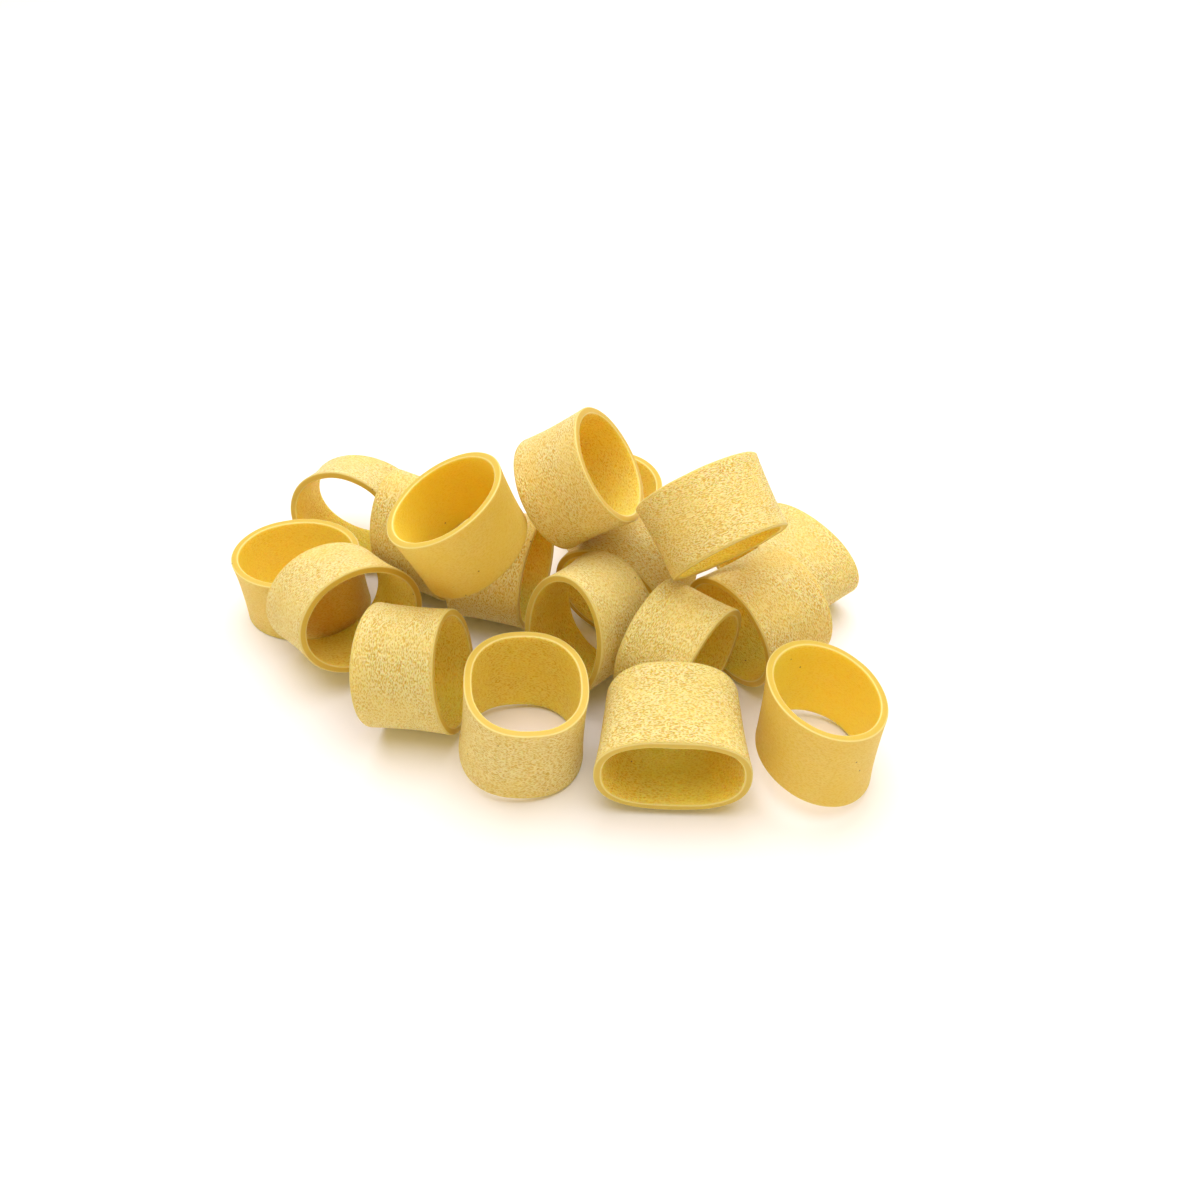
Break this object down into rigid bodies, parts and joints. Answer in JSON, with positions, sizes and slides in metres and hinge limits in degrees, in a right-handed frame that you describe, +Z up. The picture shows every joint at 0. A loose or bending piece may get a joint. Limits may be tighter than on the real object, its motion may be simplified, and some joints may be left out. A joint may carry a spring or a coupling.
{
  "type": "calamarata pasta heap",
  "caption": "Loose heap of dry calamarata, short wide pasta rings cut from a tube, lying and standing as they fell.",
  "frame": {"origin": "middle of the heap's outline on the table top, at table height", "axes": "+X along the heap's longest side, towards the right seen from its front, +Y towards its back, +Z up"},
  "size_m": [0.1574, 0.109, 0.0594],
  "materials": {
    "pasta_palest": "matte",
    "pasta_pale": "matte",
    "pasta_mid": "matte",
    "pasta_deep": "matte"
  },
  "bodies": {
    "root": {"ring_far_left": "pasta_pale", "ring_front_upright": "pasta_pale", "ring_front_right": "pasta_pale", "ring_back_upright": "pasta_mid", "ring_back_left": "pasta_pale", "ring_left_middle": "pasta_mid", "ring_front_left_tilted": "pasta_mid", "ring_front_left_lying": "pasta_pale", "ring_centre_left": "pasta_deep", "ring_centre_front": "pasta_palest", "ring_centre_back": "pasta_deep", "ring_front_wide": "pasta_palest", "ring_centre_right": "pasta_pale", "ring_right_middle": "pasta_deep", "ring_far_right": "pasta_pale", "ring_top_left": "pasta_palest", "ring_top_centre": "pasta_mid", "ring_top_right": "pasta_pale"}
  },
  "joints": []
}
